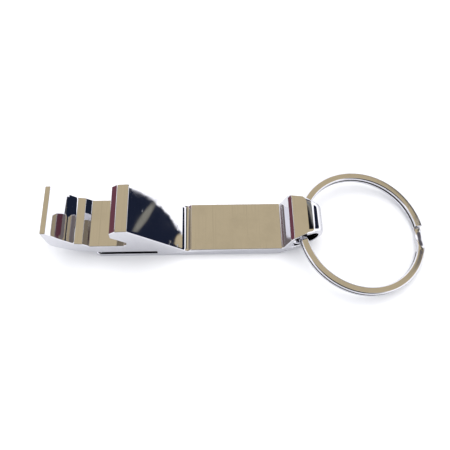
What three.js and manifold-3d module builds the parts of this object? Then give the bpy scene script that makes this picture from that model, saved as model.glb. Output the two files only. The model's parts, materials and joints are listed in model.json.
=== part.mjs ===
// Keychain bottle opener: a plated cast body with a crown-cap claw and a can-tab lifter, and a
// split key ring that swings in the eye at the tail.
//
// Millimetres, +Z up. X runs along the opener from the claw (-X) to the ring (+X), Y is its width.
// The origin is the middle of the flat underside that the body rests on.

import * as THREE from 'three';
import { mergeVertices } from 'three/addons/utils/BufferGeometryUtils.js';
import Module from 'manifold-3d';

// ---- Driving dimensions -------------------------------------------------------------------

const BODY_WIDTH = 11.4;
const ARC_STEPS = 7; // straight pieces in each rounded corner

const TIP_X = -31.3; // outer face of the claw's tip
const TIP_TOP = 12.45;
const TIP_THICKNESS = 1.1;
const RIDGE_X = -25.7; // small step inside the claw
const JAW_FLOOR = 5.6;
const JAW_FLOOR_START = -22.3;

const TOOTH_TOP = 12.9;
const TOOTH_BACK = -13.45; // where the wedge's long slope starts
const BEAK_X = -17.2; // point of the tooth that catches the cap's rim
const POCKET_END = -14.1; // back of the undercut below the tooth

const PANEL_TOP = 2.85; // flat top of the handle
const PANEL_START = -0.3;
const PANEL_END = 20;
const VALLEY_TOP = 2.25; // shallow groove between slope and panel

const LIFTER_THICKNESS = 1.35; // can-tab lifter, a thin flange under the wedge
const LIFTER_LIP_RADIUS = 0.78; // the lip is a bead along the flange's end
const LIFTER_TIP = -21.73;
const SLOT_TOP = 2.35;
const SLOT_END = -7.95;

const UNDERSIDE_END = 19.3; // the flat underside ends here
const EYE_LUG_BOTTOM = 2.3;
const EYE_LUG_TOP = 8.3; // its crown
const EYE_CROWN_X = 25.3;
const EYE_LUG_END = 29.1;
const EYE_LEFT = 22.5;
const EYE_WALL = 1.15;
const EYE_CEILING = 7.05;
const EYE_MOUTH_FLARE = 0.35; // both mouths of the eye open outwards by this much
const EYE_MOUTH_START = 3.2; // the flare starts here, measured from the middle of the width
const TAPER_START = 21.4; // the lug narrows from here to its end
const TAPER_SLOPE = 0.27;
const LUG_NOSE_RADIUS = 1.2;

const RING_OUTER_RADIUS = 14.95;
const WIRE_WIDTH = 1.75; // across the ring, in its plane
const WIRE_HEIGHT = 0.88; // one of the two coils
const COIL_PITCH = 1.05; // leaves a hairline between the coils
const WIRE_CORNER = 0.4;
const CROSSOVER_START = -9; // degrees round the ring, where the wire changes layer
const CROSSOVER_SPAN = 22;
const END_GAP = 2; // degrees between each wire end and the crossing strand
const RING_STEPS = 150;

const RING_TILT = 9; // degrees, the far side of the ring lies on the table
const RING_TURN = -7; // degrees about Z, the ring lies a little towards -Y
const HINGE_X = 24.9;
const HINGE_Y = -0.5;
const HINGE_SHIFT = 0.45; // the ring turns about a line just inside its wire's middle

// ---- Helpers ------------------------------------------------------------------------------

const radians = THREE.MathUtils.degToRad;

/** Closed outline through corners [x, y, radius], each corner rounded by a tangent arc. */
function roundedOutline(corners) {
  const points = [];
  corners.forEach(([x, y, radius], index) => {
    const corner = new THREE.Vector2(x, y);
    const before = new THREE.Vector2(...corners.at(index - 1)).sub(corner);
    const after = new THREE.Vector2(...corners[(index + 1) % corners.length]).sub(corner);
    const half = Math.acos(THREE.MathUtils.clamp(
      before.normalize().dot(after.normalize()), -1, 1)) / 2;
    if (!radius) {
      points.push(corner);
      return;
    }
    const bisector = before.clone().add(after).normalize();
    const centre = corner.clone().addScaledVector(bisector, radius / Math.sin(half));
    const reach = radius / Math.tan(half);
    const start = corner.clone().addScaledVector(before, reach).sub(centre);
    const end = corner.clone().addScaledVector(after, reach).sub(centre);
    const sweep = Math.atan2(start.cross(end), start.dot(end));
    for (let step = 0; step <= ARC_STEPS; step += 1) {
      const turned = start.clone().rotateAround(new THREE.Vector2(), (sweep * step) / ARC_STEPS);
      points.push(turned.add(centre));
    }
  });
  return new THREE.Shape(points);
}

/** Closed BufferGeometry to manifold solid. */
function toSolid(wasm, geometry) {
  const plain = geometry.clone();
  plain.deleteAttribute('normal');
  plain.deleteAttribute('uv');
  const merged = mergeVertices(plain, 1e-5);
  return new wasm.Manifold(new wasm.Mesh({
    numProp: 3,
    vertProperties: new Float32Array(merged.attributes.position.array),
    triVerts: new Uint32Array(merged.index.array),
  }));
}

/** Manifold solid back to BufferGeometry. */
function toGeometry(solid) {
  const mesh = solid.getMesh();
  const geometry = new THREE.BufferGeometry();
  geometry.setAttribute('position', new THREE.BufferAttribute(mesh.vertProperties, 3));
  geometry.setIndex(new THREE.BufferAttribute(mesh.triVerts, 1));
  geometry.computeVertexNormals();
  return geometry;
}

// ---- Opener body --------------------------------------------------------------------------

/** Side view of the body in X and Z, the same across its whole width. */
function bodyProfile() {
  const lip = LIFTER_LIP_RADIUS;
  return roundedOutline([
    // flat underside and the rise to the eye
    [LIFTER_TIP, 0, lip],
    [UNDERSIDE_END, 0, 2],
    [UNDERSIDE_END + 3.7, EYE_LUG_BOTTOM, 1.5],
    // end of the lug, its top, and the bend down to the handle
    [EYE_LUG_END, EYE_LUG_BOTTOM, 2.5],
    [EYE_LUG_END, EYE_LUG_TOP - 2, 1.6],
    [EYE_CROWN_X + 2.1, EYE_LUG_TOP - 0.6, 4.5],
    [EYE_CROWN_X, EYE_LUG_TOP, 0.8],
    [EYE_LEFT - 0.15, EYE_LUG_TOP - 0.85, 0.4],
    [EYE_LEFT - 0.9, EYE_LUG_TOP - 1.65, 0.3],
    [PANEL_END + 0.3, PANEL_TOP, 0.8],
    // flat panel and the groove in front of it
    [PANEL_START, PANEL_TOP, 0.3],
    [PANEL_START - 0.65, VALLEY_TOP, 0.3],
    [PANEL_START - 1.6, VALLEY_TOP + 0.37, 3],
    // wedge and tooth
    [TOOTH_BACK, TOOTH_TOP, 0.65],
    [BEAK_X + 1.4, TOOTH_TOP - 0.15, 0.5],
    [BEAK_X, TOOTH_TOP - 1.2, 0.4],
    [BEAK_X - 0.05, TOOTH_TOP - 3.05, 0.3],
    // undercut pocket and jaw floor
    [POCKET_END, 7.15, 0.7],
    [POCKET_END - 0.3, JAW_FLOOR, 0.8],
    [JAW_FLOOR_START, JAW_FLOOR, 0.8],
    [JAW_FLOOR_START - 1.4, JAW_FLOOR + 1.25, 0.4],
    [RIDGE_X + 0.4, JAW_FLOOR + 1.55, 0.3],
    [RIDGE_X, JAW_FLOOR + 1.85, 0.25],
    // inside of the claw, its tip, and its back
    [RIDGE_X - 1.7, JAW_FLOOR + 3.4, 8],
    [TIP_X + TIP_THICKNESS, TIP_TOP, 0.12],
    [TIP_X, TIP_TOP, 0.25],
    [TIP_X + 0.5, 6.4, 3],
    [TIP_X + 5.3, 3.35, 5],
    [LIFTER_TIP + 0.73, SLOT_TOP, 2],
    // slot above the can-tab lifter, and the lifter's rounded lip
    [SLOT_END, SLOT_TOP, 0.15],
    [SLOT_END, LIFTER_THICKNESS, 0.15],
    [LIFTER_TIP + 1.75, LIFTER_THICKNESS, 0.2],
    [LIFTER_TIP + 1.35, 2 * lip, 0.3],
    [LIFTER_TIP, 2 * lip, lip * 0.99],
  ]);
}

/** The eye in the tail lug that the ring passes through, open along Y. */
function eyeOutline() {
  const bottom = EYE_LUG_BOTTOM + EYE_WALL;
  const top = EYE_CEILING;
  const right = EYE_LUG_END - EYE_WALL;
  return roundedOutline([
    [EYE_LEFT, bottom, 1.3],
    [right, bottom, 1.7],
    [right, top, 1.7],
    [EYE_LEFT, top, 1.3],
  ]);
}

/** Cutter that opens the eye's mouth on the +Y side (side 1) or the -Y side (side -1). */
function eyeMouth(side) {
  const depth = BODY_WIDTH / 2;
  const flareDepth = 1.5;
  const cutter = new THREE.ExtrudeGeometry(eyeOutline(), {
    depth,
    bevelThickness: flareDepth,
    bevelSize: EYE_MOUTH_FLARE,
    bevelSegments: 3,
  });
  cutter.translate(0, 0, -depth / 2);
  cutter.rotateX(Math.PI / 2);
  cutter.translate(0, side * (EYE_MOUTH_START + flareDepth + depth / 2), 0);
  return cutter;
}

/** Plan view of the body in X and Y: straight sides, and a lug that tapers to its end. */
function planOutline() {
  const halfWidth = BODY_WIDTH / 2;
  const overhang = 1.5; // the plan is wider than the body where it cuts nothing
  const cutStart = TAPER_START - overhang / TAPER_SLOPE;
  const endHalf = halfWidth - (EYE_LUG_END - TAPER_START) * TAPER_SLOPE;
  return roundedOutline([
    [TIP_X - overhang, -halfWidth - overhang, 0],
    [cutStart, -halfWidth - overhang, 0],
    [EYE_LUG_END, -endHalf, LUG_NOSE_RADIUS],
    [EYE_LUG_END, endHalf, LUG_NOSE_RADIUS],
    [cutStart, halfWidth + overhang, 0],
    [TIP_X - overhang, halfWidth + overhang, 0],
  ]);
}

/** The body: its side view run across the width, trimmed to the plan, with the eye flared. */
function bodyGeometry(wasm) {
  const profile = bodyProfile();
  profile.holes.push(eyeOutline());
  const across = new THREE.ExtrudeGeometry(profile, {
    depth: BODY_WIDTH,
    bevelEnabled: false,
  });
  across.translate(0, 0, -BODY_WIDTH / 2);
  across.rotateX(Math.PI / 2);
  const upright = new THREE.ExtrudeGeometry(planOutline(), {
    depth: TOOTH_TOP + 2,
    bevelEnabled: false,
  });
  upright.translate(0, 0, -1);
  const trimmed = toSolid(wasm, across).intersect(toSolid(wasm, upright));
  const mouths = [1, -1].map((side) => toSolid(wasm, eyeMouth(side)));
  return toGeometry(trimmed.subtract(mouths[0]).subtract(mouths[1]));
}

// ---- Split ring ---------------------------------------------------------------------------

/** Middle line of the ring's wire: two turns in two layers, joined by one crossing strand. */
class SplitRingPath extends THREE.Curve {
  getPoint(t, target = new THREE.Vector3()) {
    const first = CROSSOVER_START + CROSSOVER_SPAN + END_GAP;
    const last = first + 720 - CROSSOVER_SPAN - 2 * END_GAP;
    const angle = THREE.MathUtils.lerp(first, last, t);
    const crossing = CROSSOVER_START + 360;
    const drop = THREE.MathUtils.smoothstep(angle, crossing, crossing + CROSSOVER_SPAN);
    const radius = RING_OUTER_RADIUS - WIRE_WIDTH / 2;
    return target.set(
      radius * Math.cos(radians(angle)),
      radius * Math.sin(radians(angle)),
      COIL_PITCH * (0.5 - drop),
    );
  }
}

/** The wire swept along its path; the section's X runs up through the coils, its Y across. */
function ringGeometry() {
  const section = new THREE.Shape();
  for (const [up, across] of [[1, 1], [-1, 1], [-1, -1], [1, -1]]) {
    const start = Math.atan2(across, up) - Math.PI / 4;
    section.absarc(
      up * (WIRE_HEIGHT / 2 - WIRE_CORNER),
      across * (WIRE_WIDTH / 2 - WIRE_CORNER),
      WIRE_CORNER,
      start,
      start + Math.PI / 2,
    );
  }
  section.closePath();
  return new THREE.ExtrudeGeometry(section, {
    steps: RING_STEPS,
    curveSegments: 1,
    bevelEnabled: false,
    extrudePath: new SplitRingPath(),
  });
}

/** Height of the wire's middle in the eye when the ring's far side lies on the table. */
function hingeHeight() {
  const tilt = radians(RING_TILT);
  const reach = 2 * RING_OUTER_RADIUS - WIRE_WIDTH / 2 - HINGE_SHIFT;
  const halfStack = (COIL_PITCH + WIRE_HEIGHT) / 2;
  return reach * Math.sin(tilt) + halfStack * Math.cos(tilt);
}

// ---- Assembly -----------------------------------------------------------------------------

const wasm = await Module();
wasm.setup();

const opener = new THREE.Group();
opener.name = 'keychain_bottle_opener';

const body = new THREE.Mesh(bodyGeometry(wasm), new THREE.MeshStandardMaterial({
  color: 0xd4d2cc,
  metalness: 1,
  roughness: 0.05,
}));
body.name = 'opener_body';
opener.add(body);

const ringMount = new THREE.Group();
ringMount.position.set(HINGE_X, HINGE_Y, hingeHeight());
ringMount.rotation.z = radians(RING_TURN);
opener.add(ringMount);

const ringSwing = new THREE.Group();
ringSwing.rotation.y = radians(RING_TILT);
ringMount.add(ringSwing);

const ring = new THREE.Mesh(ringGeometry(), new THREE.MeshStandardMaterial({
  color: 0xcfcdc8,
  metalness: 1,
  roughness: 0.08,
}));
ring.name = 'split_ring';
ring.position.x = RING_OUTER_RADIUS - WIRE_WIDTH / 2 - HINGE_SHIFT;
ringSwing.add(ring);

export default opener;
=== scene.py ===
"""Looks of the keychain bottle opener: a chrome plated casting and its split key ring."""

import json
import logging
import math
from dataclasses import dataclass, field
from enum import Enum
from typing import Callable

import bmesh
import bpy
from mathutils import Matrix, Vector


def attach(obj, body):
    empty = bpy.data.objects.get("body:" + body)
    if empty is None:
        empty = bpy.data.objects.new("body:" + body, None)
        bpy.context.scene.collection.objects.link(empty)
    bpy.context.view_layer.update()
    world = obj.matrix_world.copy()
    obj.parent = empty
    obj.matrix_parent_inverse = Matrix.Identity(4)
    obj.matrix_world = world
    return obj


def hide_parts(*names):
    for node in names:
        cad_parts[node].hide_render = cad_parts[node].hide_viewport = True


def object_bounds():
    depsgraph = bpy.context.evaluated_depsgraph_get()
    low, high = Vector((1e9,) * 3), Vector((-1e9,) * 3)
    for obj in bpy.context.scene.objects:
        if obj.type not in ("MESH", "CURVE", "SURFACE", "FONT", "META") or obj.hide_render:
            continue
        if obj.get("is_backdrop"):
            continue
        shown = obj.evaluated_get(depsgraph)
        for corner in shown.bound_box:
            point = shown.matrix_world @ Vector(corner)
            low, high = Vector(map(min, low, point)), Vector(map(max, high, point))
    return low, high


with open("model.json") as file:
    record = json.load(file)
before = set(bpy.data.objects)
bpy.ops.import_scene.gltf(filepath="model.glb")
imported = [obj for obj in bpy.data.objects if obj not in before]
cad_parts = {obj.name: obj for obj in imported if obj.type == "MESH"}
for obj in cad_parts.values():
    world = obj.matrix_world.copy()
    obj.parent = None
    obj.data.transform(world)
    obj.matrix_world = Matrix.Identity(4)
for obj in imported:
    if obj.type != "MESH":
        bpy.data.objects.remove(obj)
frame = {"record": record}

MM = 0.001
SHADE_MARK_ATTRIBUTE = "dull_and_shaded"  # face attribute, 1 where the plating gets a duller gloss and painted shade, a near-black colour for the shade in the slot and between the coils
TURN_SIGN = -1  # without a window the rotate operator turns the other way
TOUCHING = 1e-7  # metres, places nearer than this are one place
FACING = 0.99  # least part of a unit normal that makes a face look along an axis
LOG = logging.getLogger("opener")

Piece = bpy.types.Object
Socket = bpy.types.NodeSocket
Tree = bpy.types.NodeTree
Face = bmesh.types.BMFace
Triple = tuple[float, float, float]
Rgba = tuple[float, float, float, float]


class Slot(Enum):
    """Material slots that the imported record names."""

    BODY = "body_plating"
    RING = "ring_wire"


class Body(Enum):
    """Bodies that pieces ride on."""

    OPENER = "opener"
    RING = "ring"


class Edge(Enum):
    """How square the outline of a reflected card is, as the power of its superellipse."""

    ROUND = 2.0
    PANEL = 6.0


# ---- Hand work in edit mode ----


def clear_selection() -> None:
    """Leaves edit mode and deselects every object."""
    if bpy.context.object and bpy.context.object.mode != "OBJECT":
        bpy.ops.object.mode_set(mode="OBJECT")
    bpy.ops.object.select_all(action="DESELECT")


def take(piece: Piece) -> None:
    """Makes one object the selected and active one.

    Args:
        piece: The object to work on.
    """
    clear_selection()
    piece.select_set(True)
    bpy.context.view_layer.objects.active = piece


def edit(piece: Piece, mode: str = "VERT") -> None:
    """Opens a piece in edit mode with nothing selected.

    Args:
        piece: The object to open.
        mode: Selection mode, VERT, EDGE or FACE.
    """
    take(piece)
    bpy.ops.object.mode_set(mode="EDIT")
    bpy.ops.mesh.select_mode(type=mode)
    bpy.ops.mesh.select_all(action="DESELECT")


def pick(piece: Piece, kind: str, test: Callable) -> int:
    """Selects the elements of the open mesh that pass a test, and nothing else.

    Args:
        piece: The object in edit mode.
        kind: verts, edges or faces.
        test: Tells whether one bmesh element is wanted.

    Returns:
        How many elements are selected.
    """
    bpy.ops.mesh.select_all(action="DESELECT")
    mesh = bmesh.from_edit_mesh(piece.data)
    count = 0
    for element in getattr(mesh, kind):
        if test(element):
            element.select_set(True)
            count += 1
    mesh.select_flush_mode()
    bmesh.update_edit_mesh(piece.data)
    return count


def apply_modifier(piece: Piece, kind: str, **settings: object) -> None:
    """Adds one modifier to a piece and applies it.

    Args:
        piece: The object to change.
        kind: The modifier's type.
        settings: Its settings by name.
    """
    take(piece)
    modifier = piece.modifiers.new(kind.title(), kind)
    for name, value in settings.items():
        setattr(modifier, name, value)
    bpy.ops.object.modifier_apply(modifier=modifier.name)


def mark_faces(piece: Piece, test: Callable) -> None:
    """Writes the mark for a duller gloss and painted shade, 1, on the faces that pass a test.

    Args:
        piece: The object to mark.
        test: Tells whether one face is wanted.
    """
    edit(piece, "FACE")
    count = pick(piece, "faces", test)
    close_edit()
    bpy.ops.geometry.attribute_add(name=SHADE_MARK_ATTRIBUTE, domain="FACE", data_type="FLOAT")
    marks = piece.data.attributes[SHADE_MARK_ATTRIBUTE].data
    for face, mark in zip(piece.data.polygons, marks):
        mark.value = 1.0 if face.select else 0.0
    LOG.info("%s: %d recess faces", piece.name, count)


def remove_object(piece: Piece) -> None:
    """Deletes a helper object."""
    take(piece)
    bpy.ops.object.delete()


def close_edit() -> None:
    """Goes back to object mode."""
    bpy.ops.object.mode_set(mode="OBJECT")


def pick_all() -> None:
    """Selects the whole open mesh."""
    bpy.ops.mesh.select_all(action="SELECT")


def bevel(offset: float, steps: int, affect: str) -> None:
    """Rounds what is selected.

    Args:
        offset: How far the rounding reaches, in millimetres.
        steps: Its number of steps.
        affect: VERTICES or EDGES.
    """
    bpy.ops.mesh.bevel(
        offset=offset * MM, segments=steps, profile=0.5, affect=affect, clamp_overlap=False
    )


def face_outwards() -> None:
    """Selects the whole open mesh and turns its normals outwards."""
    pick_all()
    bpy.ops.mesh.normals_make_consistent(inside=False)


def extrude_across(run: float) -> None:
    """Extrudes the selected faces along Y, by a run in metres."""
    bpy.ops.mesh.extrude_region_move(TRANSFORM_OT_translate={"value": (0, run, 0)})


def quarter_steps(count: int) -> list[tuple[float, float]]:
    """Divides a quarter turn.

    Args:
        count: How many steps.

    Returns:
        The angles where each step starts and ends, in radians.
    """
    quarter = math.pi / 2
    return [(quarter * step / count, quarter * (step + 1) / count) for step in range(count)]


# ---- Outlines ----


@dataclass(frozen=True)
class Corner:
    """One corner of an outline in the XZ plane, in millimetres."""

    x: float
    z: float
    radius: float = 0.0

    def at(self, y: float) -> Vector:
        """The corner's place in metres, at one station across the width.

        Args:
            y: The station in millimetres.

        Returns:
            The place.
        """
        return Vector((self.x, y, self.z)) * MM


@dataclass
class Outline:
    """A closed outline that is drawn corner by corner and then rounded."""

    corners: list[Corner]
    arc_steps: int = 8

    def reach(self, index: int) -> float:
        """How far a corner's arc runs along its two sides.

        Args:
            index: The corner's place in the list.

        Returns:
            The length in millimetres.
        """
        corner = self.corners[index]
        before = self.corners[index - 1]
        after = self.corners[(index + 1) % len(self.corners)]
        back = Vector((before.x - corner.x, before.z - corner.z))
        ahead = Vector((after.x - corner.x, after.z - corner.z))
        return corner.radius / math.tan(back.angle(ahead) / 2)

    def draw(self, name: str, y: float) -> Piece:
        """Draws the outline as one flat face.

        Args:
            name: The new object's name.
            y: Its station across the width, in millimetres.

        Returns:
            The object, closed in edit mode.
        """
        clear_selection()
        bpy.ops.mesh.primitive_plane_add(size=MM, location=(0, 0, 0))
        piece = bpy.context.object
        piece.name = name
        piece.data.name = name
        edit(piece)
        pick_all()
        bpy.ops.mesh.merge(type="CENTER")
        last = self.corners[0].at(y)
        bpy.ops.transform.translate(value=last)
        for corner in self.corners[1:]:
            place = corner.at(y)
            bpy.ops.mesh.extrude_vertices_move(TRANSFORM_OT_translate={"value": place - last})
            last = place
        pick_all()
        bpy.ops.mesh.edge_face_add()
        for index, corner in enumerate(self.corners):
            if corner.radius:
                place = corner.at(y)
                pick(piece, "verts", lambda vertex: (vertex.co - place).length < TOUCHING)
                bevel(self.reach(index), self.arc_steps, "VERTICES")
        close_edit()
        return piece


# ---- Finishes ----


@dataclass
class NodeSheet:
    """A node tree with short ways to add and join nodes."""

    tree: Tree

    def add(self, kind: str, **settings: object) -> bpy.types.Node:
        """Adds one node.

        Args:
            kind: The node's type name.
            settings: Properties to set on it.

        Returns:
            The node.
        """
        node = self.tree.nodes.new(kind)
        for name, value in settings.items():
            setattr(node, name, value)
        return node

    def feed(self, value: object, target: Socket) -> None:
        """Gives an input a link or a fixed value.

        Args:
            value: A socket, or a number or colour.
            target: The input.
        """
        if isinstance(value, Socket):
            self.tree.links.new(value, target)
        else:
            target.default_value = value

    def math(self, operation: str, first: object, second: object = 0.0) -> Socket:
        """Adds a Math node.

        Args:
            operation: The node's operation.
            first: A socket or number for its first input.
            second: A socket or number for its second input.

        Returns:
            Its output.
        """
        node = self.add("ShaderNodeMath", operation=operation)
        self.feed(first, node.inputs[0])
        self.feed(second, node.inputs[1])
        return node.outputs[0]

    def mix(self, share: object, first: object, second: object) -> Socket:
        """Adds a Mix node for colours.

        Args:
            share: A socket or number, how much of the second colour shows.
            first: A socket or colour.
            second: A socket or colour.

        Returns:
            The mixed colour.
        """
        node = self.add("ShaderNodeMix", data_type="RGBA")
        colour_inputs = (6, 7)  # the node's first inputs are for plain numbers
        self.feed(share, node.inputs["Factor"])
        for index, value in zip(colour_inputs, (first, second)):
            self.feed(value, node.inputs[index])
        return node.outputs[2]

    def noise(self, place: Socket, scale: object, detail: float = 2, fine: float = 0.5) -> Socket:
        """Adds a Noise Texture.

        Args:
            place: The coordinates.
            scale: A socket or number for its scale.
            detail: How many octaves it has.
            fine: How strong the finer octaves are.

        Returns:
            Its value, about 0.5 on average.
        """
        node = self.add("ShaderNodeTexNoise")
        node.inputs["Detail"].default_value = detail
        node.inputs["Roughness"].default_value = fine
        self.feed(place, node.inputs["Vector"])
        self.feed(scale, node.inputs["Scale"])
        return node.outputs["Fac"]

    def stretch(self, place: Socket, scale: Triple, turn: Triple = (0, 0, 0)) -> Socket:
        """Adds a Mapping node that stretches and turns coordinates.

        Args:
            place: The coordinates.
            scale: Their scale by axis.
            turn: Their rotation by axis, in radians.

        Returns:
            The new coordinates.
        """
        node = self.add("ShaderNodeMapping")
        node.inputs["Rotation"].default_value = turn
        node.inputs["Scale"].default_value = scale
        self.feed(place, node.inputs["Vector"])
        return node.outputs["Vector"]

    def ramp(self, value: Socket, low: float, high: float) -> Socket:
        """Adds a smooth step from 0 at low to 1 at high.

        Args:
            value: The input.
            low: Where it starts.
            high: Where it ends.

        Returns:
            The stepped value.
        """
        node = self.add("ShaderNodeMapRange", interpolation_type="SMOOTHSTEP")
        self.feed(value, node.inputs["Value"])
        node.inputs["From Min"].default_value = low
        node.inputs["From Max"].default_value = high
        return node.outputs["Result"]


def new_group(
    name: str, inputs: dict[str, float], output: str
) -> tuple[NodeSheet, list[Socket], Socket]:
    """Starts a shader node group that reads a place and some numbers.

    Args:
        name: The group's name.
        inputs: Names and default values of its number inputs.
        output: Name of its number output.

    Returns:
        The sheet, what the inputs give (the place, then the numbers), and where the result goes.
    """
    tree = bpy.data.node_groups.new(name, "ShaderNodeTree")
    tree.interface.new_socket("Place", in_out="INPUT", socket_type="NodeSocketVector")
    for label, value in inputs.items():
        socket = tree.interface.new_socket(label, in_out="INPUT", socket_type="NodeSocketFloat")
        socket.default_value = value
    tree.interface.new_socket(output, in_out="OUTPUT", socket_type="NodeSocketFloat")
    sheet = NodeSheet(tree)
    start = sheet.add("NodeGroupInput")
    end = sheet.add("NodeGroupOutput")
    return sheet, [start.outputs[label] for label in ("Place", *inputs)], end.inputs[output]


class PlatingEffects:
    """The node groups that both plated finishes share, built once."""

    scratch_stretch: Triple = (1.0, 0.16, 1.0)
    scratch_turns: tuple[Triple, ...] = ((0.2, 0.1, 0.5), (0.2, 0.1, 1.9))
    patch_scales: tuple[float, ...] = (230.0, 314.0)
    patch_edge: tuple[float, float] = (0.56, 0.68)
    line_stretch: Triple = (1.0, 0.015, 1.0)
    line_edge: tuple[float, float] = (0.5, 0.72)
    haze_stretch: Triple = (1.0, 1.0, 1.0)
    haze_edge: tuple[float, float] = (0.42, 0.78)

    def __init__(self) -> None:
        """Builds the groups: waves, scratches, fingers' haze and lines across the casting."""
        self.ripple = self.build_ripple()
        self.scratches = self.build_scratches()
        self.haze = self.build_mask("Finger haze", self.haze_stretch, self.haze_edge, 4, 0.6)
        self.lines = self.build_mask("Polishing lines", self.line_stretch, self.line_edge, 2, 0.5)

    def build_ripple(self) -> Tree:
        """Slow waves that hand polishing leaves under the plating.

        Returns:
            The group, with a Height output in metres.
        """
        inputs = {"Scale": 150.0, "Depth": 1e-6}
        sheet, (place, scale, depth), end = new_group("Polish ripple", inputs, "Height")
        height = sheet.math("MULTIPLY", sheet.noise(place, scale, detail=1), depth)
        sheet.feed(height, end)
        return sheet.tree

    def build_scratches(self) -> Tree:
        """Fine handling scratches: thin bent lines that come and go.

        Returns:
            The group, with a Mask output from 0 to 1.
        """
        inputs = {"Scale": 90.0, "Width": 0.012}
        sheet, (place, scale, width), end = new_group("Handling scratches", inputs, "Mask")
        mask = None
        for turn, patch_scale in zip(self.scratch_turns, self.patch_scales):
            bends = sheet.noise(sheet.stretch(place, self.scratch_stretch, turn), scale)
            away = sheet.math("ABSOLUTE", sheet.math("SUBTRACT", bends, 0.5))
            line = sheet.math("LESS_THAN", away, width)
            patches = sheet.ramp(sheet.noise(place, patch_scale), *self.patch_edge)
            line = sheet.math("MULTIPLY", line, patches)
            mask = line if mask is None else sheet.math("MAXIMUM", mask, line)
        sheet.feed(mask, end)
        return sheet.tree

    def build_mask(
        self, name: str, stretch: Triple, edge: tuple[float, float], detail: float, fine: float
    ) -> Tree:
        """Noise that comes in softly above a certain value, as lines or as clouds.

        Args:
            name: The group's name.
            stretch: Scale of the noise by axis, beside the group's own Scale.
            edge: The noise's values where the mask starts and where it is full.
            detail: How many octaves the noise has.
            fine: How strong the finer octaves are.

        Returns:
            The group, with a Mask output from 0 to its Amount.
        """
        inputs = {"Scale": 180.0, "Amount": 1.0}
        sheet, (place, scale, amount), end = new_group(name, inputs, "Mask")
        noise = sheet.noise(sheet.stretch(place, stretch), scale, detail, fine)
        mask = sheet.math("MULTIPLY", sheet.ramp(noise, *edge), amount)
        sheet.feed(mask, end)
        return sheet.tree


@dataclass(frozen=True)
class PlatedFinish:
    """Bright plating over polished metal."""

    name: str
    colour: Rgba
    worn_colour: Rgba
    painted_shade_colour: Rgba
    gloss: float
    haze_gloss: float
    ripple_scale: float
    ripple_depth: float
    scratch_scale: float
    scratch_width: float
    line_amount: float
    line_scale: float = 1800.0
    haze_scale: float = 180.0
    scratch_gloss: float = 0.16
    scratch_depth: float = 1.5e-7
    recess_gloss: float = 0.4
    haze_wear: float = 0.5

    def build(self, effects: PlatingEffects) -> bpy.types.Material:
        """Builds the material.

        Args:
            effects: The shared node groups.

        Returns:
            The material.
        """
        material = bpy.data.materials.new(self.name)
        material.use_nodes = True
        sheet = NodeSheet(material.node_tree)
        shader = sheet.tree.nodes["Principled BSDF"]
        shader.inputs["Metallic"].default_value = 1.0
        ripple = self.use(sheet, effects.ripple, (self.ripple_scale, self.ripple_depth))
        scratches = self.use(sheet, effects.scratches, (self.scratch_scale, self.scratch_width))
        haze = self.use(sheet, effects.haze, (self.haze_scale, 1.0))
        lines = self.use(sheet, effects.lines, (self.line_scale, self.line_amount))
        clouded = sheet.math("MULTIPLY", haze, self.haze_gloss - self.gloss)
        roughness = sheet.math("ADD", clouded, self.gloss)
        rubbed = sheet.math("MULTIPLY", scratches, self.scratch_gloss)
        dull_and_shaded = sheet.add("ShaderNodeAttribute", attribute_name=SHADE_MARK_ATTRIBUTE).outputs["Fac"]
        dulled = sheet.math("MULTIPLY", dull_and_shaded, self.recess_gloss)
        roughness = sheet.math("ADD", roughness, dulled)
        sheet.feed(sheet.math("ADD", roughness, rubbed), shader.inputs["Roughness"])
        wear = sheet.math("MAXIMUM", sheet.math("MULTIPLY", haze, self.haze_wear), lines)
        colour = sheet.mix(wear, self.colour, self.worn_colour)
        # painted shade: the marked faces take a near-black colour that stands in for the shade in the
        # can-tab slot and between the ring's coils
        colour = sheet.mix(dull_and_shaded, colour, self.painted_shade_colour)
        sheet.feed(colour, shader.inputs["Base Color"])
        bump = sheet.add("ShaderNodeBump")
        bump.inputs["Strength"].default_value = 1.0
        bump.inputs["Distance"].default_value = 1.0
        groove = sheet.math("MULTIPLY", scratches, -self.scratch_depth)
        height = sheet.math("ADD", ripple, groove)
        sheet.feed(height, bump.inputs["Height"])
        sheet.feed(bump.outputs["Normal"], shader.inputs["Normal"])
        return material

    def use(self, sheet: NodeSheet, group: Tree, numbers: tuple[float, float]) -> Socket:
        """Places a shared group in the material, on the piece's own coordinates.

        Args:
            sheet: The material's sheet.
            group: The group.
            numbers: Its two number inputs.

        Returns:
            The group's output.
        """
        node = sheet.add("ShaderNodeGroup", node_tree=group)
        sheet.feed(sheet.add("ShaderNodeTexCoord").outputs["Object"], node.inputs["Place"])
        for socket, value in zip(node.inputs[1:], numbers):
            socket.default_value = value
        return node.outputs[0]


BODY_PLATING = PlatedFinish(
    name="BodyPlating",
    colour=(0.62, 0.62, 0.66, 1),
    worn_colour=(0.53, 0.53, 0.56, 1),
    # painted shade for the inside of the can-tab slot
    painted_shade_colour=(0.02, 0.02, 0.025, 1),
    gloss=0.02,
    haze_gloss=0.045,
    ripple_scale=140.0,
    ripple_depth=1.6e-6,
    scratch_scale=110.0,
    scratch_width=0.004,
    line_amount=0.5,
)
RING_WIRE = PlatedFinish(
    name="RingWire",
    colour=(0.6, 0.6, 0.64, 1),
    worn_colour=(0.54, 0.54, 0.56, 1),
    # painted shade for the groove between the coils
    painted_shade_colour=(0.05, 0.05, 0.055, 1),
    gloss=0.06,
    haze_gloss=0.13,
    ripple_scale=260.0,
    ripple_depth=1.2e-6,
    scratch_scale=160.0,
    scratch_width=0.012,
    line_amount=0.0,
)


# ---- Opener body ----


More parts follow.
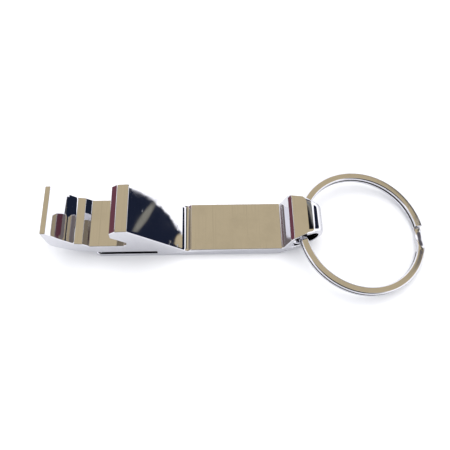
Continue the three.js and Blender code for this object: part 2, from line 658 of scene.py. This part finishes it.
@dataclass
class OpenerBody:
    """The plated casting: claw, jaw, tooth, wedge, can-tab lifter, handle and tail eye.

    Lengths are in millimetres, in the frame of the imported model.
    """

    half_width: float = 5.7
    rim_radius: float = 0.14
    rim_steps: int = 4
    small_edge: float = 0.09
    small_steps: int = 3
    sharp_bend: float = 20.0
    smooth_bend: float = 32.0
    weld: float = 0.002
    columns: tuple[float, ...] = (0.0, 0.22, 0.42, 0.6, 0.75, 0.86)
    taper_start: float = 21.4
    lug_end: float = 29.1
    taper_slope: float = 0.27
    nose_radius: float = 1.2
    cage_rows: int = 25
    cage_height: float = 12.0
    cage_middle: float = 5.0
    eye_low: tuple[float, float] = (22.5, 3.45)
    eye_high: tuple[float, float] = (27.95, 7.05)
    eye_corners: tuple[float, float] = (1.3, 1.7)
    mouth_start: float = 3.2
    mouth_flare: float = 0.35
    mouth_depth: float = 1.5
    mouth_steps: int = 5
    mouth_overrun: float = 4.0
    bead_centre: tuple[float, float] = (-20.95, 0.79)
    bead_radius: float = 0.78
    bead_end: float = 0.6
    bead_sides: int = 48
    bead_steps: int = 8
    slot_length: tuple[float, float] = (-20.3, -7.75)
    slot_height: tuple[float, float] = (1.2, 2.5)
    finish: PlatedFinish = BODY_PLATING

    def side_view(self) -> list[Corner]:
        """The side view's corners; those left sharp get a small rounding at the end.

        Returns:
            The corners, from the lip of the can-tab lifter along the underside.
        """
        underside = [Corner(-20.95, 0, 0.2), Corner(19.3, 0, 2), Corner(23.0, 2.3, 1.5)]
        lug = [Corner(29.1, 2.3, 2.5), Corner(29.1, 6.3, 1.6), Corner(27.4, 7.7, 4.5)]
        bend = [Corner(25.3, 8.3, 0.8), Corner(22.35, 7.45, 0.4), Corner(21.6, 6.65, 0.3)]
        bend += [Corner(20.8, 4.6, 6), Corner(20.3, 2.85, 0.8)]
        panel = [Corner(-0.3, 2.85), Corner(-0.95, 2.25, 0.3), Corner(-1.9, 2.62, 3)]
        tooth = [Corner(-13.45, 12.9, 0.65), Corner(-15.8, 12.75, 0.5)]
        beak = [Corner(-17.2, 11.7, 0.4), Corner(-17.25, 9.85)]
        pocket = [Corner(-14.1, 7.15, 0.7), Corner(-14.4, 5.6, 0.8)]
        jaw = [Corner(-22.3, 5.6, 0.8), Corner(-23.7, 6.85, 0.4), Corner(-25.3, 7.15, 0.3)]
        claw = [Corner(-25.7, 7.45), Corner(-27.4, 9.0, 8), Corner(-30.2, 12.45)]
        back = [Corner(-31.27, 12.45), Corner(-30.8, 6.4, 3), Corner(-26.0, 3.35, 5)]
        slot = [Corner(-21.0, 2.35, 2), Corner(-7.95, 2.35), Corner(-7.95, 1.35)]
        flange = [Corner(-20.95, 1.35, 0.2)]
        front = tooth + beak + pocket + jaw + claw + back
        return underside + lug + bend + panel + front + slot + flange

    def build(self) -> Piece:
        """Models the whole casting.

        Returns:
            The finished mesh object.
        """
        piece = self.run_across()
        self.round_rims(piece)
        self.round_small_edges(piece)
        self.shape_lug(piece)
        self.cut_eye(piece)
        self.add_bead(piece)
        self.smooth(piece)
        self.mark_slot(piece)
        return piece

    def dress(self, piece: Piece, effects: PlatingEffects) -> None:
        """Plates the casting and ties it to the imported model.

        Args:
            piece: The body.
            effects: The shared node groups.
        """
        piece.data.materials.append(self.finish.build(effects))
        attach(piece, Body.OPENER.value)
        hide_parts("opener_body")

    def run_across(self) -> Piece:
        """Runs the side view across the width, in columns that the lug needs.

        Returns:
            The object, a little narrower than the body by the rim radius on each side.
        """
        inner = 1 - self.rim_radius / self.half_width
        shares = [*self.columns, inner]
        stations = sorted({-share for share in shares} | set(shares))
        start = stations[0] * self.half_width
        piece = Outline(self.side_view()).draw("OpenerBody", start)
        edit(piece, "FACE")
        pick_all()
        for low, high in zip(stations, stations[1:]):
            extrude_across((high - low) * self.half_width * MM)
        face_outwards()
        close_edit()
        return piece

    def round_rims(self, piece: Piece) -> None:
        """Rounds both long rims by insets that climb a quarter circle.

        Args:
            piece: The body.
        """
        edit(piece, "FACE")
        reach = (self.half_width - self.rim_radius) * MM
        for side in (-1, 1):

            def is_cap(face: Face) -> bool:
                """Whether the face is the flat side that this pass rounds."""
                centre = face.calc_center_median()
                return abs(centre.y * side - reach) < TOUCHING and abs(face.normal.y) > FACING

            pick(piece, "faces", is_cap)
            for low, high in quarter_steps(self.rim_steps):
                bpy.ops.mesh.inset(
                    thickness=self.rim_radius * (math.cos(low) - math.cos(high)) * MM,
                    depth=self.rim_radius * (math.sin(high) - math.sin(low)) * MM,
                    use_even_offset=True,
                )
        close_edit()

    def round_small_edges(self, piece: Piece) -> None:
        """Rounds the corners that were left sharp, where they run across the width.

        Args:
            piece: The body.
        """
        edit(piece, "EDGE")
        sharp = [corner.at(0) for corner in self.side_view() if not corner.radius]
        inner = (self.half_width - self.rim_radius) * MM + TOUCHING
        bend = math.radians(self.sharp_bend)
        near_corner = 1e-6
        least_run = 1e-9

        def is_sharp(edge: bmesh.types.BMEdge) -> bool:
            """Whether the edge lies on a sharp corner, or goes on from it over a rim.

            Args:
                edge: The edge.

            Returns:
                True if it is to be rounded.
            """
            run = edge.verts[0].co - edge.verts[1].co
            middle = (edge.verts[0].co + edge.verts[1].co) / 2
            on_rim = abs(middle.y) > inner
            reach = 2 * self.rim_radius * MM if on_rim else near_corner
            if abs(run.y) < least_run or edge.calc_face_angle(0) < bend:
                return False
            flat = Vector((middle.x, 0, middle.z))
            return any((flat - corner).length < reach for corner in sharp)

        count = pick(piece, "edges", is_sharp)
        LOG.info("small edges rounded: %d", count)
        bevel(self.small_edge, self.small_steps, "EDGES")
        close_edit()

    def shape_lug(self, piece: Piece) -> None:
        """Tapers the lug in plan and rounds the corners of its end, with a lattice.

        Args:
            piece: The body.
        """
        length = self.lug_end - self.taper_start
        middle = Vector(((self.lug_end + self.taper_start) / 2, 0, self.cage_middle)) * MM
        clear_selection()
        bpy.ops.object.add(type="LATTICE", location=middle)
        cage = bpy.context.object
        cage.scale = (length * MM, 2 * self.half_width * MM, self.cage_height * MM)
        cage.data.points_u = 2
        cage.data.points_v = self.cage_rows
        cage.data.points_w = 2
        for name in ("u", "v", "w"):
            setattr(cage.data, f"interpolation_type_{name}", "KEY_LINEAR")
        end_half = self.half_width - length * self.taper_slope
        for point in cage.data.points:
            if point.co.x < 0:
                continue
            across = point.co.y * 2 * end_half
            past = max(0.0, abs(across) - end_half + self.nose_radius)
            back = self.nose_radius - math.sqrt(self.nose_radius**2 - past**2)
            point.co_deform.x = 0.5 - back / length
            point.co_deform.y = across / (2 * self.half_width)
        bpy.context.view_layer.update()
        apply_modifier(piece, "LATTICE", object=cage)
        remove_object(cage)

    def cut_eye(self, piece: Piece) -> None:
        """Cuts the eye across the lug, with mouths that flare outwards.

        Args:
            piece: The body.
        """
        left, bottom = self.eye_low
        right, top = self.eye_high
        small, large = self.eye_corners
        corners = [
            Corner(left, bottom, small),
            Corner(right, bottom, large),
            Corner(right, top, large),
            Corner(left, top, small),
        ]
        cutter = Outline(corners, arc_steps=10).draw("EyeCutter", -self.mouth_start)
        centre = Vector(((left + right) / 2, 0, (bottom + top) / 2)) * MM
        edit(cutter, "FACE")
        pick_all()
        extrude_across(2 * self.mouth_start * MM)
        start = self.mouth_start * MM
        for side in (-1, 1):

            def is_end(face: Face) -> bool:
                """Whether the face closes the cutter on this side."""
                return abs(face.calc_center_median().y * side - start) < TOUCHING

            pick(cutter, "faces", is_end)
            self.flare(side, centre, right - left, top - bottom)
        face_outwards()
        close_edit()
        apply_modifier(piece, "BOOLEAN", operation="DIFFERENCE", solver="EXACT", object=cutter)
        remove_object(cutter)

    def flare(self, side: int, centre: Vector, width: float, height: float) -> None:
        """Widens the selected end of the eye's cutter step by step and runs it out of the body.

        Args:
            side: 1 towards +Y, -1 towards -Y.
            centre: The eye's middle, in metres.
            width: The eye's width, in millimetres.
            height: The eye's height, in millimetres.
        """
        grown = 0.0
        for low, high in quarter_steps(self.mouth_steps):
            extrude_across(self.mouth_depth * (math.sin(high) - math.sin(low)) * side * MM)
            more = self.mouth_flare * (1 - math.cos(high))
            wider = (width + 2 * more) / (width + 2 * grown)
            taller = (height + 2 * more) / (height + 2 * grown)
            bpy.ops.transform.resize(value=(wider, 1, taller), center_override=centre)
            grown = more
        extrude_across(self.mouth_overrun * side * MM)

    def add_bead(self, piece: Piece) -> None:
        """Adds the round bead along the can-tab lifter's lip, with rounded ends.

        Args:
            piece: The body.
        """
        x, z = self.bead_centre
        clear_selection()
        bpy.ops.mesh.primitive_cylinder_add(
            vertices=self.bead_sides,
            radius=self.bead_radius * MM,
            depth=2 * self.half_width * MM,
            location=(x * MM, 0, z * MM),
            rotation=(math.pi / 2, 0, 0),
        )
        bead = bpy.context.object
        bpy.ops.object.transform_apply(location=True, rotation=True, scale=True)
        edit(bead, "FACE")
        pick(bead, "faces", lambda face: abs(face.normal.y) > FACING)
        bevel(self.bead_end, self.bead_steps, "EDGES")
        close_edit()
        apply_modifier(piece, "BOOLEAN", operation="UNION", solver="EXACT", object=bead)
        remove_object(bead)

    def smooth(self, piece: Piece) -> None:
        """Merges doubles and gives the flats true normals between their rounded edges.

        Args:
            piece: The body.
        """
        edit(piece)
        pick_all()
        bpy.ops.mesh.remove_doubles(threshold=self.weld * MM)
        face_outwards()
        close_edit()
        take(piece)
        bpy.ops.object.shade_smooth_by_angle(angle=math.radians(self.smooth_bend))
        apply_modifier(piece, "WEIGHTED_NORMAL", keep_sharp=True, weight=100)

    def mark_slot(self, piece: Piece) -> None:
        """Marks the inside of the can-tab slot, where no polish reaches, for a duller gloss and for painted
        shade, a near-black colour that stands in for the shadow inside the slot.

        Args:
            piece: The body.
        """
        left, right = self.slot_length
        low, high = self.slot_height
        edge = self.half_width - 0.01

        def in_slot(face: Face) -> bool:
            """Whether the face lies between the can-tab lifter and the wedge."""
            x, y, z = face.calc_center_median() / MM
            return left < x < right and low < z < high and abs(y) < edge

        mark_faces(piece, in_slot)


# ---- Split ring ----


@dataclass
class SplitRing:
    """The key ring: one flattened wire wound in two layers, with a crossing strand.

    Lengths are in millimetres, angles in degrees.
    """

    outer_radius: float = 14.95
    wire_width: float = 1.75
    wire_height: float = 0.88
    pitch: float = 1.05
    wire_corner: float = 0.4
    corner_steps: int = 5
    crossing_start: float = -9.0
    crossing_span: float = 22.0
    end_gap: float = 2.0
    crossing_dip: float = 0.3
    step: float = 2.4
    crossing_steps: int = 16
    tilt: float = 9.0
    hinge_shift: float = 0.45
    groove_reach: float = 0.3
    burr: float = 0.1
    smooth_bend: float = 35.0
    finish: PlatedFinish = RING_WIRE

    def build(self) -> Piece:
        """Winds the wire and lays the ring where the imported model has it.

        Returns:
            The finished mesh object.
        """
        piece = self.draw_section()
        edit(piece, "FACE")
        pick_all()
        turn = 360 - self.crossing_span - self.end_gap
        self.wind(turn)
        self.cross()
        self.wind(turn)
        face_outwards()
        self.round_ends(piece)
        close_edit()
        take(piece)
        bpy.ops.object.shade_smooth_by_angle(angle=math.radians(self.smooth_bend))
        apply_modifier(piece, "WEIGHTED_NORMAL", keep_sharp=True, weight=100)
        self.mark_groove(piece)
        self.place(piece)
        return piece

    def dress(self, piece: Piece, effects: PlatingEffects) -> None:
        """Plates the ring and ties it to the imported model.

        Args:
            piece: The ring.
            effects: The shared node groups.
        """
        piece.data.materials.append(self.finish.build(effects))
        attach(piece, Body.RING.value)
        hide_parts("split_ring")

    def mark_groove(self, piece: Piece) -> None:
        """Marks the facing sides of the two coils for a duller gloss and for painted shade, a dark line
        that stands in for the shade between the coils.

        Args:
            piece: The ring, wound about the origin.
        """
        crossing = self.crossing_span + 2 * self.end_gap
        start = self.crossing_start - self.end_gap
        reach = self.groove_reach

        def in_groove(face: Face) -> bool:
            """Whether the face lies between the coils and clear of the crossing strand."""
            x, y, z = face.calc_center_median() / MM
            return (math.degrees(math.atan2(y, x)) - start) % 360 > crossing and abs(z) < reach

        mark_faces(piece, in_groove)

    def middle_radius(self) -> float:
        """Radius of the wire's middle line, in millimetres."""
        return self.outer_radius - self.wire_width / 2

    def start_angle(self) -> float:
        """Angle at which the upper layer's end lies."""
        return self.crossing_start + self.crossing_span + self.end_gap

    def draw_section(self) -> Piece:
        """Draws the wire's section at the start of the upper layer.

        Returns:
            The section as a flat face that stands across the wire.
        """
        middle = self.middle_radius()
        level = self.pitch / 2
        wide = self.wire_width / 2
        high = self.wire_height / 2
        corners = [
            Corner(middle - wide, level - high, self.wire_corner),
            Corner(middle + wide, level - high, self.wire_corner),
            Corner(middle + wide, level + high, self.wire_corner),
            Corner(middle - wide, level + high, self.wire_corner),
        ]
        piece = Outline(corners, arc_steps=self.corner_steps).draw("SplitRing", 0)
        edit(piece, "FACE")
        pick_all()
        self.turn(self.start_angle())
        close_edit()
        return piece

    def turn(self, degrees: float) -> None:
        """Turns the selection counter-clockwise about the ring's axis.

        Args:
            degrees: How far.
        """
        bpy.ops.transform.rotate(
            value=TURN_SIGN * math.radians(degrees),
            orient_axis="Z",
            orient_type="GLOBAL",
            center_override=(0, 0, 0),
        )

    def wind(self, degrees: float) -> None:
        """Runs the selected end on round the ring in its own layer.

        Args:
            degrees: How far it runs.
        """
        steps = round(degrees / self.step)
        for _ in range(steps):
            bpy.ops.mesh.extrude_region_move()
            self.turn(degrees / steps)

    def cross(self) -> None:
        """Runs the selected end down to the lower layer, dipping inwards on its way."""
        angle = self.crossing_start
        span = self.crossing_span
        drop_before = 0.0
        dip_before = 0.0
        for step in range(1, self.crossing_steps + 1):
            share = step / self.crossing_steps
            drop = share * share * (3 - 2 * share)
            dip = math.sin(math.pi * share) ** 2
            bpy.ops.mesh.extrude_region_move()
            self.turn(span / self.crossing_steps)
            heading = math.radians(angle + span * share)
            inward = -self.crossing_dip * (dip - dip_before) * MM
            move = (
                inward * math.cos(heading),
                inward * math.sin(heading),
                -self.pitch * (drop - drop_before) * MM,
            )
            bpy.ops.transform.translate(value=move)
            drop_before, dip_before = drop, dip

    def round_ends(self, piece: Piece) -> None:
        """Takes the burr off the two cut ends.

        Args:
            piece: The ring in edit mode.
        """
        burr = self.burr * MM
        shares = (0.4, 0.6)
        slope = 0.5
        wire_sides = 4
        for share in shares:
            pick(piece, "faces", lambda face: len(face.verts) > wire_sides)
            bpy.ops.mesh.inset(
                thickness=burr * share,
                depth=burr * (1 - share) * slope,
                use_even_offset=True,
                use_individual=True,
            )

    def place(self, piece: Piece) -> None:
        """Lays the ring in the eye, tilted so that its far side lies low.

        Args:
            piece: The ring, wound about the origin.
        """
        joint = frame["record"]["behaviour"]["joints"][0]
        hinge = Vector(joint["pos_m"])
        axis = Vector(joint["axis"])
        heading = math.atan2(axis.x, -axis.y)
        middle = (self.middle_radius() - self.hinge_shift) * MM
        lie = Matrix.Rotation(math.radians(self.tilt), 4, "Y")
        turned = Matrix.Rotation(heading, 4, "Z")
        piece.matrix_world = (
            Matrix.Translation(hinge) @ turned @ lie @ Matrix.Translation((middle, 0, 0))
        )
        take(piece)
        bpy.ops.object.transform_apply(location=True, rotation=True, scale=True)


# ---- Studio ----


@dataclass(frozen=True)
class Card:
    """One card or dark thing of the room, as the plating mirrors it.

    The direction is a bearing from +Y towards +X and a height above the horizon, in degrees.
    """

    name: str
    bearing: float
    height: float
    width: float
    tall: float
    colour: Triple
    soft: float = 0.25
    roll: float = 0.0
    edge: Edge = Edge.ROUND
    rough: float = 0.0

    def axes(self) -> tuple[Vector, Vector, Vector]:
        """Middle direction of the card, and its two axes.

        Returns:
            The middle, the axis to its right and the axis up.
        """
        bearing = math.radians(self.bearing)
        height = math.radians(self.height)
        flat = Vector((math.sin(bearing), math.cos(bearing), 0))
        middle = flat * math.cos(height) + Vector((0, 0, 1)) * math.sin(height)
        right = Vector((math.cos(bearing), -math.sin(bearing), 0))
        up = right.cross(middle)
        turn = math.radians(self.roll)
        turned_right = right * math.cos(turn) + up * math.sin(turn)
        turned_up = up * math.cos(turn) - right * math.sin(turn)
        return middle, turned_right, turned_up


@dataclass
class MirroredRoom:
    """The room round the table: plain light for all, and the cards that the plating mirrors."""

    plain: Triple = (0.86, 0.87, 0.9)
    plain_strength: float = 0.96
    wall: Triple = (1.8, 1.8, 1.84)
    ceiling: Triple = (0.72, 0.6, 0.38)
    ceiling_edge: tuple[float, float] = (35.0, 37.0)
    near_edge: tuple[float, float] = (-0.12, -0.3)
    ragged_scale: float = 60.0
    cards: list[Card] = field(default_factory=list)

    def build(self) -> None:
        """Builds the world."""
        world = bpy.data.worlds.new("Room")
        bpy.context.scene.world = world
        world.use_nodes = True
        sheet = NodeSheet(world.node_tree)
        sheet.tree.nodes.clear()
        direction = sheet.add("ShaderNodeTexCoord").outputs["Generated"]
        wobble = sheet.math("SUBTRACT", sheet.noise(direction, self.ragged_scale), 0.5)
        heights = [math.sin(math.radians(edge)) for edge in self.ceiling_edge]
        above = sheet.ramp(self.dot(sheet, direction, Vector((0, 0, 1))), *heights)
        beyond = sheet.ramp(self.dot(sheet, direction, Vector((0, 1, 0))), *self.near_edge[::-1])
        over = sheet.math("MULTIPLY", above, beyond)
        colour = sheet.mix(over, (*self.wall, 1), (*self.ceiling, 1))
        for card in self.cards:
            mask = self.mask(sheet, direction, wobble, card)
            colour = sheet.mix(mask, colour, (*card.colour, 1))
            colour.node.label = card.name
        mirrored = sheet.add("ShaderNodeBackground")
        sheet.feed(colour, mirrored.inputs["Color"])
        plain = sheet.add("ShaderNodeBackground")
        plain.inputs["Color"].default_value = (*self.plain, 1)
        plain.inputs["Strength"].default_value = self.plain_strength
        path = sheet.add("ShaderNodeLightPath")
        both = sheet.add("ShaderNodeMixShader")
        sheet.feed(path.outputs["Is Glossy Ray"], both.inputs[0])
        sheet.feed(plain.outputs[0], both.inputs[1])
        sheet.feed(mirrored.outputs[0], both.inputs[2])
        output = sheet.add("ShaderNodeOutputWorld")
        sheet.feed(both.outputs[0], output.inputs["Surface"])

    def mask(self, sheet: NodeSheet, direction: Socket, wobble: Socket, card: Card) -> Socket:
        """Adds the nodes that tell where one card is seen.

        Args:
            sheet: The world's sheet.
            direction: The direction that is looked in.
            wobble: Noise about zero, for ragged outlines.
            card: The card.

        Returns:
            Its mask, 1 on the card.
        """
        middle, right, up = card.axes()
        sizes = (math.sin(math.radians(card.width / 2)), math.sin(math.radians(card.tall / 2)))
        power = card.edge.value
        total = None
        for axis, size in zip((right, up), sizes):
            along = self.dot(sheet, direction, axis / size)
            raised = sheet.math("POWER", sheet.math("ABSOLUTE", along), power)
            total = raised if total is None else sheet.math("ADD", total, raised)
        away = sheet.math("POWER", total, 1 / power)
        if card.rough:
            away = sheet.math("ADD", away, sheet.math("MULTIPLY", wobble, card.rough))
        inside = sheet.ramp(away, 1 + card.soft, 1 - card.soft)
        ahead = sheet.math("GREATER_THAN", self.dot(sheet, direction, middle), 0.0)
        return sheet.math("MULTIPLY", inside, ahead)

    def dot(self, sheet: NodeSheet, direction: Socket, axis: Vector) -> Socket:
        """Adds a dot product with a fixed axis.

        Args:
            sheet: The world's sheet.
            direction: The direction.
            axis: The axis.

        Returns:
            The product.
        """
        node = sheet.add("ShaderNodeVectorMath", operation="DOT_PRODUCT")
        sheet.feed(direction, node.inputs[0])
        node.inputs[1].default_value = axis
        return node.outputs["Value"]


@dataclass(frozen=True)
class Lamp:
    """One soft square lamp that looks at the middle of the table, in metres and watts."""

    name: str
    place: Triple
    power: float
    tint: Triple
    size: float = 1.0

    def hang(self) -> None:
        """Hangs the lamp, out of the plating's sight."""
        clear_selection()
        bpy.ops.object.light_add(type="AREA", location=self.place)
        lamp = bpy.context.object
        lamp.name = self.name
        lamp.data.size = self.size
        lamp.data.energy = self.power
        lamp.data.color = self.tint
        lamp.rotation_euler = (-Vector(self.place)).to_track_quat("-Z", "Y").to_euler()
        lamp.visible_glossy = False


@dataclass
class Studio:
    """Pale floor, soft lamps and the camera.

    Camera angles are in degrees: its bearing from +Y towards +X, how far it looks down, and its
    roll. Its distance and the shift of its aim are in millimetres.
    """

    floor_size: float = 4.0
    floor_drop: float = 0.02 * MM
    floor_colour: Rgba = (0.93, 0.93, 0.94, 1)
    floor_roughness: float = 0.75
    floor_shine: float = 0.15
    camera_bearing: float = 3.21
    camera_pitch: float = 64.5
    camera_roll: float = 2.06
    camera_distance: float = 131.24
    camera_lens: float = 44.97
    camera_sensor: float = 36.0
    camera_reach: tuple[float, float] = (0.01, 20.0)
    aim_shift: tuple[float, float] = (-3.39, 3.85)
    lamps: tuple[Lamp, ...] = (
        Lamp("KeyLamp", (0.2, 0.3, 0.85), 5.6, (1.0, 0.99, 0.97)),
        Lamp("FillLamp", (-0.5, 0.2, 0.7), 2.3, (0.97, 0.98, 1.0)),
    )

    def lay_floor(self) -> None:
        """Lays the pale table top."""
        clear_selection()
        bpy.ops.mesh.primitive_plane_add(size=self.floor_size, location=(0, 0, -self.floor_drop))
        floor = bpy.context.object
        floor.name = "Floor"
        material = bpy.data.materials.new("PaleTable")
        material.use_nodes = True
        sheet = NodeSheet(material.node_tree)
        shader = sheet.tree.nodes["Principled BSDF"]
        shader.inputs["Roughness"].default_value = self.floor_roughness
        shader.inputs["Specular IOR Level"].default_value = self.floor_shine
        shader.inputs["Base Color"].default_value = self.floor_colour
        floor.data.materials.append(material)
        floor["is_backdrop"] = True

    def set_camera(self, low: Vector, high: Vector) -> None:
        """Sets the camera above and in front of the object.

        Args:
            low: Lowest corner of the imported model.
            high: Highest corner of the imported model.
        """
        bearing = math.radians(self.camera_bearing)
        pitch = math.radians(self.camera_pitch)
        roll = math.radians(self.camera_roll)
        middle = (low + high) / 2
        shift_x, shift_y = self.aim_shift
        aim = Vector((middle.x + shift_x * MM, middle.y + shift_y * MM, low.z))
        ahead = Vector((
            math.sin(bearing) * math.cos(pitch),
            math.cos(bearing) * math.cos(pitch),
            -math.sin(pitch),
        ))
        flat_right = Vector((math.cos(bearing), -math.sin(bearing), 0))
        flat_up = flat_right.cross(ahead)
        right = flat_right * math.cos(roll) + flat_up * math.sin(roll)
        up = flat_up * math.cos(roll) - flat_right * math.sin(roll)
        clear_selection()
        bpy.ops.object.camera_add(location=aim - ahead * self.camera_distance * MM)
        camera = bpy.context.object
        axes = Matrix((right, up, -ahead)).transposed()
        camera.rotation_mode = "QUATERNION"
        camera.rotation_quaternion = axes.to_quaternion()
        camera.data.sensor_width = self.camera_sensor
        camera.data.lens = self.camera_lens
        camera.data.clip_start, camera.data.clip_end = self.camera_reach
        bpy.context.scene.camera = camera

    def build(self, low: Vector, high: Vector) -> None:
        """Sets up the floor, the lamps, the camera and the tone.

        Args:
            low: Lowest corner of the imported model.
            high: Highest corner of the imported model.
        """
        self.set_camera(low, high)
        self.lay_floor()
        for lamp in self.lamps:
            lamp.hang()
        scene = bpy.context.scene
        scene.view_settings.view_transform = "Standard"
        scene.view_settings.look = "None"


OLIVE = (0.72, 0.6, 0.38)
GREY_OLIVE = (0.32, 0.31, 0.26)
GREY = (0.29, 0.3, 0.3)
NAVY = (0.016, 0.022, 0.045)
BLACK = (0.01, 0.01, 0.012)
MAUVE = (0.21, 0.075, 0.1)
BROWN = (0.35, 0.3, 0.28)
SLATE = (0.16, 0.15, 0.16)

ROOM_CARDS = [
    Card("high black strip, right", bearing=56, height=42.6, width=14, tall=3.8, colour=BLACK, soft=0.1),
    Card("high slate patch, right", bearing=60.9, height=46.5, width=5, tall=3.8, colour=SLATE, soft=0.4),
    Card("slate screen, right", bearing=41.5, height=29, width=16, tall=22, colour=SLATE, soft=0.3),
    Card("high grey strip, right", bearing=56, height=38.9, width=14, tall=3.8, colour=GREY, soft=0.3),
    Card(
        "navy coat, right", bearing=68, height=20, width=18.3, tall=22.6,
        colour=NAVY, soft=0.012, rough=0.08,
    ),
    Card(
        "streak on the coat", bearing=63.2, height=12.8, width=3.8, tall=0.7,
        colour=GREY_OLIVE, soft=0.4, roll=38,
    ),
    Card(
        "brown panel, upper left", bearing=-62.5, height=42.1, width=22, tall=14,
        colour=BROWN, soft=0.012, roll=30, edge=Edge.PANEL,
    ),
    Card("olive patch by the coat", bearing=66.3, height=9.3, width=2.4, tall=1.2, colour=OLIVE, soft=0.15),
    Card("brown screen, left", bearing=-68, height=24, width=14, tall=22, colour=BROWN, soft=0.05),
    Card("grey screen, left", bearing=-44, height=14, width=14, tall=16, colour=GREY, soft=0.3),
    Card("brown screen, low left", bearing=-66, height=17, width=26, tall=20, colour=BROWN, soft=0.05),
    Card("mauve strip, low left", bearing=-64, height=1, width=40, tall=14, colour=MAUVE, soft=0.1),
    Card("dark room behind", bearing=180, height=46, width=90, tall=66, colour=BLACK, soft=0.1),
]


def main() -> None:
    """Builds the pieces and the studio in order."""
    logging.basicConfig(level=logging.INFO, format="%(name)s: %(message)s")
    low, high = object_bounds()
    effects = PlatingEffects()
    for assembly in (OpenerBody(), SplitRing()):
        piece = assembly.build()
        assembly.dress(piece, effects)
        LOG.info("%s: %d faces", piece.name, len(piece.data.polygons))
    Studio().build(low, high)
    MirroredRoom(cards=ROOM_CARDS).build()


if __name__ == "__main__":
    main()
